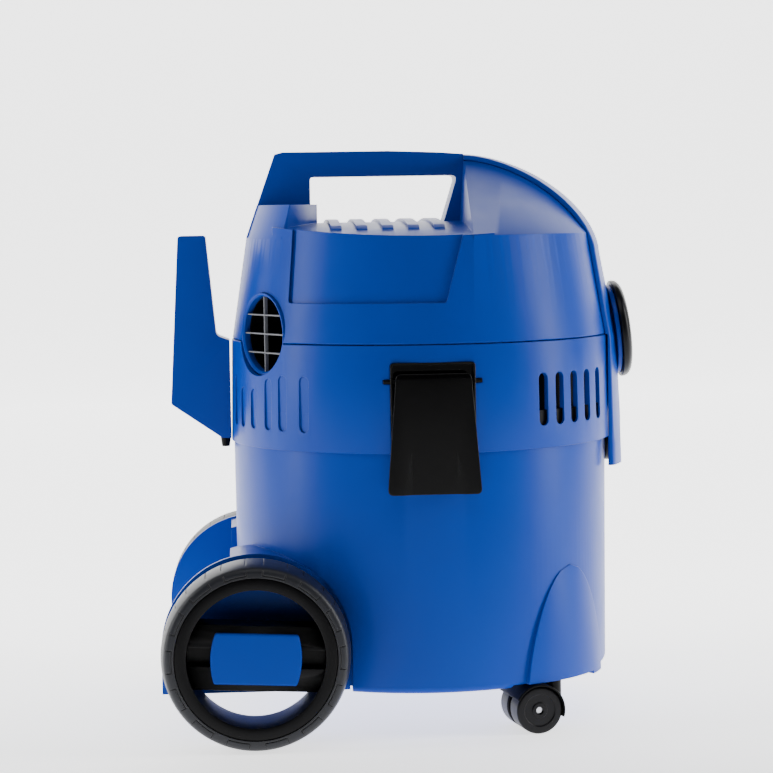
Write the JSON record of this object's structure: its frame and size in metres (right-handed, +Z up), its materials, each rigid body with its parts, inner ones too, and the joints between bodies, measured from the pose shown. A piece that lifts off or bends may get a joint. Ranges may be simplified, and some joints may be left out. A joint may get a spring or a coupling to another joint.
{
  "type": "shop vacuum",
  "caption": "Compact wet and dry shop vacuum: round tub on rear wheels and front casters, latched motor head with handle, knob and cable hook.",
  "frame": {"origin": "on the floor, under the middle of the bounding box", "axes": "+X to the front (knob side), +Z up, -Y to the latch side seen with the front at the right; the tub's axis is vertical, 17.2 mm ahead of the origin"},
  "size_m": [0.3637, 0.334, 0.43],
  "materials": {
    "blue_plastic": "satin moulded polypropylene",
    "black_plastic": "satin moulded plastic",
    "caster_tread": "satin",
    "gloss_black_plastic": "polished",
    "grey_plastic": "satin",
    "tyre_rubber": "dull, soft sheen",
    "seal_rubber": "dull",
    "steel": "plated",
    "copper_winding": "varnished winding",
    "filter_paper": "pleated paper",
    "float_plastic": "natural"
  },
  "bodies": {
    "container": {"container": "blue_plastic", "inlet_collar": "black_plastic", "inlet_nut": "black_plastic", "axle_right": "steel", "axle_left": "steel", "axle_clip_right": "steel", "axle_clip_left": "steel"},
    "head": {"head_base": "blue_plastic", "head_cover": "blue_plastic", "front_fascia": "blue_plastic", "cable_hook": "blue_plastic", "cord_gland": "black_plastic", "container_seal": "seal_rubber", "motor_plate": "black_plastic", "motor_housing": "grey_plastic", "fan_cover": "grey_plastic", "motor_mount_lower": "seal_rubber", "motor_mount_upper": "seal_rubber", "motor_body": "steel", "exhaust_duct": "black_plastic", "exhaust_grille": "grey_plastic", "switch_body": "grey_plastic", "float_cage": "grey_plastic", "filter_element": "filter_paper", "filter_end_cap": "black_plastic", "latch_pin_right": "steel", "latch_pin_left": "steel", "head_screw_1": "steel", "head_screw_2": "steel", "head_screw_3": "steel", "head_screw_4": "steel"},
    "rotor": {"motor_shaft": "steel", "armature": "copper_winding", "impeller": "black_plastic"},
    "knob": {"knob": "black_plastic"},
    "float": {"float": "float_plastic"},
    "wheel_right": {"wheel_rim_right": "black_plastic", "tyre_right": "tyre_rubber", "wheel_cap_right": "blue_plastic"},
    "caster_right": {"caster_hood_right": "black_plastic", "caster_axle_right": "steel"},
    "caster_wheels_right": {"caster_wheel_inner_right": "caster_tread", "caster_wheel_outer_right": "caster_tread"},
    "latch_right": {"latch_right": "gloss_black_plastic"},
    "wheel_left": {"wheel_rim_left": "black_plastic", "tyre_left": "tyre_rubber", "wheel_cap_left": "blue_plastic"},
    "caster_left": {"caster_hood_left": "black_plastic", "caster_axle_left": "steel"},
    "caster_wheels_left": {"caster_wheel_inner_left": "caster_tread", "caster_wheel_outer_left": "caster_tread"},
    "latch_left": {"latch_left": "gloss_black_plastic"}
  },
  "joints": [
    {"name": "head_lift", "type": "slide", "parent": "container", "child": "head", "axis": [0, 0, 1], "range_m": [0, 0.25]},
    {"name": "wheel_right_spin", "type": "hinge", "parent": "container", "child": "wheel_right", "pos_m": [-0.1132, -0.143, 0.0682], "axis": [0, 1, 0], "continuous": true},
    {"name": "caster_right_swivel", "type": "hinge", "parent": "container", "child": "caster_right", "pos_m": [0.10512, -0.10403, 0.0376], "axis": [0, 0, 1], "continuous": true},
    {"name": "caster_right_roll", "type": "hinge", "parent": "caster_right", "child": "caster_wheels_right", "pos_m": [0.08956, -0.10733, 0.0175], "axis": [0.2079, -0.9781, 0], "continuous": true},
    {"name": "latch_right_open", "type": "hinge", "parent": "head", "child": "latch_right", "pos_m": [0.01721, -0.141, 0.262], "axis": [-1, 0, 0], "range_deg": [0, 50]},
    {"name": "wheel_left_spin", "type": "hinge", "parent": "container", "child": "wheel_left", "pos_m": [-0.1132, 0.143, 0.0682], "axis": [0, 1, 0], "continuous": true},
    {"name": "caster_left_swivel", "type": "hinge", "parent": "container", "child": "caster_left", "pos_m": [0.10512, 0.10403, 0.0376], "axis": [0, 0, 1], "continuous": true},
    {"name": "caster_left_roll", "type": "hinge", "parent": "caster_left", "child": "caster_wheels_left", "pos_m": [0.08956, 0.10733, 0.0175], "axis": [-0.2079, -0.9781, 0], "continuous": true},
    {"name": "latch_left_open", "type": "hinge", "parent": "head", "child": "latch_left", "pos_m": [0.01721, 0.141, 0.262], "axis": [1, 0, 0], "range_deg": [0, 50]},
    {"name": "knob_turn", "type": "hinge", "parent": "head", "child": "knob", "pos_m": [0.16976, 0, 0.29], "axis": [0.9936, 0, 0.1132], "range_deg": [0, 90]},
    {"name": "rotor_spin", "type": "hinge", "parent": "head", "child": "rotor", "pos_m": [0.01721, 0, 0.28], "axis": [0, 0, 1], "continuous": true},
    {"name": "float_rise", "type": "slide", "parent": "head", "child": "float", "axis": [0, 0, 1], "range_m": [0, 0.033]}
  ]
}
